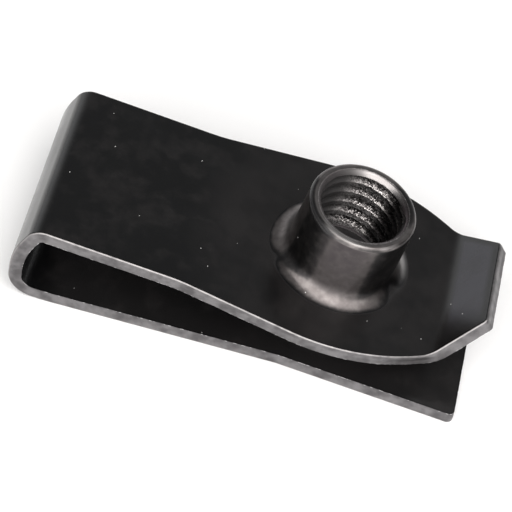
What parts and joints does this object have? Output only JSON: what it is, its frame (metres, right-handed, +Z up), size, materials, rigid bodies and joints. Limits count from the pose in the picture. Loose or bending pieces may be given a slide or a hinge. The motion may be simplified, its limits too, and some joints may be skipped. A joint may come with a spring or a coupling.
{
  "type": "u clip nut",
  "caption": "Folded sheet-metal U clip nut with a drawn, threaded barrel on the upper leg, a clear hole in the lower leg and a flared lead-in lip.",
  "frame": {"origin": "centre of the screw's passage at the underside of the lower leg, which is the face the nut lies on", "axes": "+Z up from the lower leg towards the barrel, +X from the fold to the open end and its lip, +Y across the strip"},
  "size_m": [0.0386, 0.019, 0.0125],
  "materials": {
    "black_spring_steel": "black phosphate and oil, semi-gloss, with bare grey blanked edges"
  },
  "bodies": {
    "root": {"u_clip_nut": "black_spring_steel"}
  },
  "joints": []
}
